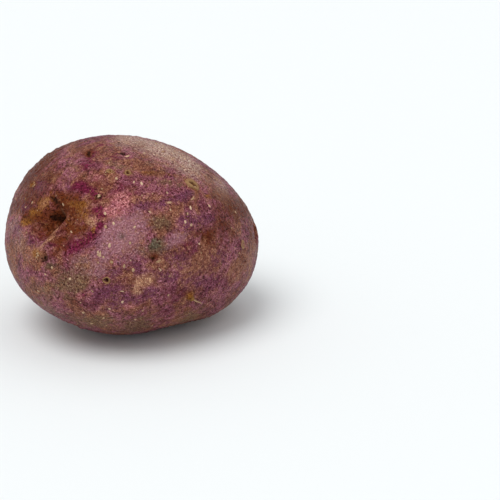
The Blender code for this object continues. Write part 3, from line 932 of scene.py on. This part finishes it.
# Scabs, where pores have run together: aim, half size, how many crumbs, their half size, paleness.
SCABS = [
    (47, 84.5, 1.3, 9, 0.3, 0.6), (17.5, 99, 0.9, 6, 0.28, 0.4), (28, -10, 0.9, 5, 0.26, 0.3),
    (92, 42, 1.4, 5, 0.28, 0.5), (49, 44.5, 0.9, 5, 0.22, 0.5), (57, 30, 0.8, 5, 0.26, 0.3),
    (76, -100, 1.4, 8, 0.3, 0.5), (110, 30, 1.2, 6, 0.28, 0.4), (50, -60, 1.2, 7, 0.28, 0.5),
]
print(len(SEEN_PORES), "pores and", len(SCABS), "scabs listed")

# %% Find directions from millimetres on the skin


def directions_near(spots, turns, u, v):
    """Directions whose points lie u and v millimetres from each spot.

    The tuber is taken as flat near a spot: the steps are u and v through the inverse of the
    two-by-two matrix that says how a point moves as its direction turns.
    """
    middles = aims(spots)
    _, across, to_rose = spot_frames(spots, turns)
    first, second = side_steps(middles)
    step = 0.01
    columns = []
    for move in moves(middles, step):
        slope = move / (2 * step)
        columns.append(np.stack([(slope * across).sum(-1), (slope * to_rose).sum(-1)], -1))
    steps = np.linalg.inv(np.stack(columns, -1)) @ np.stack([u, v], 1)
    sideways = steps[:, 0, :, None] * first[:, None] + steps[:, 1, :, None] * second[:, None]
    return unit(middles[:, None] + sideways)


one_step = directions_near([(0, 0)], [0], np.ones((1, 1)), np.zeros((1, 1)))
print("one millimetre across the rose end points to", one_step[0, 0])

# %% Spread the other pores and the crumbs
SPREAD_PORES = 420
SPREAD_SEED = 11
SPREAD_JITTER = 4.0
SPREAD_SIZES = (0.14, 0.40)
SPREAD_WIDTHS = (0.55, 1.0)  # shares of the length
SPREAD_PALENESS = (0.1, 0.7)
CRUMB_SPREAD = 0.5  # over the scab's half size
CRUMB_RANGE = (0.6, 1.3)  # how far sizes and paleness vary, as factors
CLEAR_OF_FLOOR = 0.6
CLEAR_OF_SEEN = math.radians(3)


def spread_pores():
    """Pores spread over the whole tuber, most of them small."""
    random = np.random.default_rng(SPREAD_SEED)
    spots = golden_spots(random, SPREAD_PORES, SPREAD_JITTER)
    small, large = SPREAD_SIZES
    lengths = small + (large - small) * random.random(SPREAD_PORES) ** 2
    widths = lengths * random.uniform(*SPREAD_WIDTHS, SPREAD_PORES)
    turns = random.uniform(-90, 90, SPREAD_PORES)
    paleness = random.uniform(*SPREAD_PALENESS, SPREAD_PORES)
    return np.column_stack([spots, turns, lengths, widths, paleness])


def scab_crumbs():
    """Crumbs round each scab's aim: normal steps in millimetres, turned into angles."""
    random = np.random.default_rng(SPREAD_SEED + 2)
    crumbs = []
    for *spot, half_size, how_many, size, paleness in SCABS:
        u, v = random.normal(0, CRUMB_SPREAD * half_size, (2, 1, how_many))
        ways = directions_near(np.array([spot]), np.zeros(1), u, v)[0]
        sizes = size * random.uniform(*CRUMB_RANGE, (2, how_many))
        turns = random.uniform(-90, 90, how_many)
        tones = paleness * random.uniform(*CRUMB_RANGE, how_many)
        crumbs.append(np.column_stack([spots_of(ways), turns, *sizes, tones]))
    return np.concatenate(crumbs)


seen = np.array(SEEN_PORES)
spread = spread_pores()
nearness = (aims(spread[:, :2]) @ aims(seen[:, :2]).T).max(1)
spread = spread[nearness < math.cos(CLEAR_OF_SEEN)]
pores = np.concatenate([seen, spread, scab_crumbs()])
low = skin_points(aims(pores[:, :2]))[:, 2]
pores = pores[low > CLEAR_OF_FLOOR]
print("pores kept:", len(pores))

# %% Build the lenses
PORE_RINGS = 4
PORE_AROUND = 9
PORE_RISE = 0.30  # height over half width
PORE_SINK = 0.5  # how far the lower half goes in, as a share of the rise
PORE_WOBBLES = (0.16, 0.10)  # how far from an ellipse, in waves of two and three
ANY_PHASE = (0, 6.3)


def tube_faces(steps, around, closed):
    """Square faces of a tube whose points come ring by ring, open or closed to a loop.

    Each face joins two neighbours on a ring to the same two on the next ring.
    """
    starts = np.arange(steps if closed else steps - 1)
    step, ring = np.meshgrid(starts, np.arange(around), indexing="ij")
    next_step, next_ring = (step + 1) % steps, (ring + 1) % around
    corners = ((step, ring), (next_step, ring), (next_step, next_ring), (step, next_ring))
    return np.stack([(a * around + b).ravel() for a, b in corners], 1)


def lens_grid(rings, around):
    """A ball of rings between two tips: each point's radius, height and angle, and the faces.

    Radius and height are the sine and cosine of the angle down from the upper tip.
    """
    polar = np.linspace(0, math.pi, rings + 2)[1:-1]
    angle = np.arange(around) * 2 * math.pi / around
    radius = np.concatenate([[0], np.repeat(np.sin(polar), around), [0]])
    height = np.concatenate([[1], np.repeat(np.cos(polar), around), [-1]])
    turned = np.concatenate([[0], np.tile(angle, rings), [0]])
    here = np.arange(around)
    after = (here + 1) % around
    last = 1 + rings * around
    top = np.stack([0 * here, 1 + here, 1 + after], 1)
    bottom = np.stack([last + 0 * here, last - around + after, last - around + here], 1)
    return radius, height, turned, (1 + tube_faces(rings, around, False), top, bottom)


def repeated(faces, count, points_each):
    """Faces of many copies of a piece: a copy's point numbers start where the last one's end."""
    starts = np.arange(count) * points_each
    return (faces + starts[:, None, None]).reshape(-1, faces.shape[1])


radius, rise, turned, lens_faces = lens_grid(PORE_RINGS, PORE_AROUND)
pore_random = np.random.default_rng(SPREAD_SEED + 1)
wobble = 1
for waves, size in zip((2, 3), PORE_WOBBLES):
    wobble = wobble + size * np.cos(waves * turned + pore_random.uniform(*ANY_PHASE, (len(pores), 1)))
u = pores[:, 3:4] * radius * np.cos(turned) * wobble
v = pores[:, 4:5] * radius * np.sin(turned) * wobble
pore_lift = PORE_RISE * pores[:, 4:5] * np.where(rise > 0, rise, PORE_SINK * rise)
pore_ways = directions_near(pores[:, :2], pores[:, 2], u, v).reshape(-1, 3)
pore_points = skin_points(pore_ways, pore_lift.ravel())
pore_faces = [repeated(block, len(pores), len(radius)) for block in lens_faces]
pore_piece = make_mesh("cream_pores", pore_points, *pore_faces)
store(pore_piece, "paleness", np.repeat(pores[:, 5], len(radius)))
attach(pore_piece, "root")
print("cream pores:", len(pores), "lenses,", len(pore_piece.data.polygons), "faces")

# %% [markdown]
# ## Cork rims
#
# Where a pore has swollen and cracked, or an insect has bitten, the potato heals the wound with
# a ring of cork. Each ring is a thin tube carried round an oval that lies on the skin, with a
# wavering thickness, so that it catches the light as the real one does.

# %% Make the cork rims
# Aim, turn, half length and half width of the oval, half thickness and paleness.
RIMS = [
    (92, 42, 60, 1.8, 1.15, 0.55, 0.15), (64, 34, 0, 0.8, 0.72, 0.24, 0.12),
    (57, 30, 20, 0.75, 0.62, 0.26, 0.12), (52, 100.5, 0, 0.9, 0.84, 0.2, 0.12),
    (70, -110, 30, 1.1, 0.8, 0.28, 0.3), (100, -60, 0, 0.9, 0.8, 0.24, 0.25),
    (120, 75, 10, 1.0, 0.75, 0.26, 0.25), (60, -40, 0, 1.0, 0.8, 0.24, 0.35),
    (128, -10, 40, 0.9, 0.75, 0.22, 0.3), (85, -160, 0, 0.9, 0.8, 0.22, 0.25),
]
RIM_STEPS = 28
RIM_ROUND = 8
RIM_SEED = 31
RIM_WAVERS = (0.08, 0.07)  # how far from an oval, in waves of two and three
RIM_UNEVEN = 0.30
RIM_RISE = 0.75  # height over half thickness
RIM_LIFT = 0.04  # how far the tube's middle stands off the skin

rims = np.array(RIMS)
rim_random = np.random.default_rng(RIM_SEED)
along = np.arange(RIM_STEPS) * 2 * math.pi / RIM_STEPS
tube = np.arange(RIM_ROUND) * 2 * math.pi / RIM_ROUND
phases = rim_random.uniform(*ANY_PHASE, (3, len(rims), 1))
waver = 1 + RIM_WAVERS[0] * np.cos(2 * along + phases[0])
waver += RIM_WAVERS[1] * np.cos(3 * along + phases[1])
uneven = np.cos(3 * along + phases[2]) * np.cos(2 * along + phases[0])
thickness = rims[:, 5:6] * (1 + RIM_UNEVEN * uneven)
out_by = thickness[..., None] * np.cos(tube)
u = (rims[:, 3, None, None] * waver[..., None] + out_by) * np.cos(along)[:, None]
v = (rims[:, 4, None, None] * waver[..., None] + out_by) * np.sin(along)[:, None]
rim_lift = RIM_RISE * thickness[..., None] * np.sin(tube) + RIM_LIFT
count = len(rims)
rim_ways = directions_near(rims[:, :2], rims[:, 2], u.reshape(count, -1), v.reshape(count, -1))
rim_points = skin_points(rim_ways.reshape(-1, 3), rim_lift.ravel())
rim_faces = repeated(tube_faces(RIM_STEPS, RIM_ROUND, True), count, RIM_STEPS * RIM_ROUND)
rim_piece = make_mesh("cork_rims", rim_points, rim_faces)
store(rim_piece, "paleness", np.repeat(rims[:, 6], RIM_STEPS * RIM_ROUND))
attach(rim_piece, "root")
print("cork rims:", count, "rings,", len(rim_piece.data.polygons), "faces")

# %% [markdown]
# ## The broken root
#
# One root hair is left on the stub at the potato's side: a tapering thread, about as thick as
# sewing cotton. It is a circle carried along a short path that leaves the stub and droops
# back to the skin.

# %% Make the root hair
ROOT_PATH = [  # aim and lift off the skin
    (92.6, 109.4, 0.1), (94.2, 110.8, 0.8), (96.2, 112.4, 1.0), (98.0, 113.4, 0.8), (99.8, 114.8, 0.4),
    (101.6, 116.9, 0.15),
]
ROOT_RADII = (0.26, 0.12)
ROOT_BUTT = 0.55  # how much thicker the thread is where it breaks out of the stub
ROOT_BUTT_LENGTH = 0.5  # in knots, as is the smoothing
ROOT_SMOOTHING = 0.4
ROOT_PALENESS = 0.45
ROOT_ROUND = 8
ROOT_STEPS = 30

knots = np.arange(len(ROOT_PATH))
share = np.linspace(0, knots[-1], ROOT_STEPS)
away, turned, lift = (np.interp(share, knots, column) for column in zip(*ROOT_PATH))
path = skin_points(aims(np.stack([away, turned], 1)), lift)
smoothing = np.exp(-((share[:, None] - share) ** 2) / ROOT_SMOOTHING)
path = smoothing @ path / smoothing.sum(1, keepdims=True)
ahead = unit(np.gradient(path, axis=0))
side = unit(np.cross(ahead, (0.3, 0.2, 1.0)))
over = np.cross(ahead, side)
root_radius = np.linspace(*ROOT_RADII, ROOT_STEPS)
root_radius += ROOT_BUTT * np.exp(-share / ROOT_BUTT_LENGTH)
turn = np.arange(ROOT_ROUND) * 2 * math.pi / ROOT_ROUND
circle = np.cos(turn)[:, None] * side[:, None] + np.sin(turn)[:, None] * over[:, None]
tube_points = (path[:, None] + root_radius[:, None, None] * circle).reshape(-1, 3)
root_points = np.concatenate([tube_points, path[[0, -1]]])
sides = tube_faces(ROOT_STEPS, ROOT_ROUND, False)
here, after = np.arange(ROOT_ROUND), (np.arange(ROOT_ROUND) + 1) % ROOT_ROUND
last = (ROOT_STEPS - 1) * ROOT_ROUND
caps = [np.stack([0 * here + len(root_points) - 2, here, after], 1),
        np.stack([0 * here + len(root_points) - 1, last + after, last + here], 1)]
root_piece = make_mesh("root_hair", root_points, sides, *caps)
root_paleness = ROOT_PALENESS - ROOT_PALENESS * np.exp(-share)
root_paleness = np.append(np.repeat(root_paleness, ROOT_ROUND), [0, ROOT_PALENESS])
store(root_piece, "paleness", root_paleness)
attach(root_piece, "root")
print("root hair:", len(root_piece.data.polygons), "faces")

# %% [markdown]
# ## Cork
#
# Pores, rims and the root hair are all dry cork of different paleness, so they share one
# material that reads each piece's own number.

# %% Mix the cork's material
CORK_DARK = (0.250, 0.120, 0.032, 1)
CORK_PALE = (0.650, 0.450, 0.300, 1)
CORK_PORES = 0.35  # how much of the skin's pores shows
CORK_ROUGHNESS = 0.7
CORK_ROUGHER = 0.1
CORK_BUMP = 0.05
CORK_SPECULAR = 0.25

cork_material, tree, shader, where = new_material("pale_cork")
colour = blend_colour(tree, stored_number(tree, "paleness"), CORK_DARK, CORK_PALE)
grain = use_group(tree, GRAIN, {"Vector": where, "Scale": GRAIN_SCALE})
colour = blend_colour(tree, grain["Pores"], colour, PORE_GAIN, CORK_PORES, "MULTIPLY")
rough = calc(tree, "ADD", calc(tree, "MULTIPLY", grain["Scurf"], CORK_ROUGHER), CORK_ROUGHNESS)
height = calc(tree, "MULTIPLY", grain["Height"], CORK_BUMP)
looks = {"Base Color": colour, "Roughness": rough, "Specular IOR Level": CORK_SPECULAR}
fill_shader(tree, shader, height, looks)
for piece in (pore_piece, rim_piece, root_piece):
    piece.data.materials.append(cork_material)
print("cork material:", len(tree.nodes), "nodes")
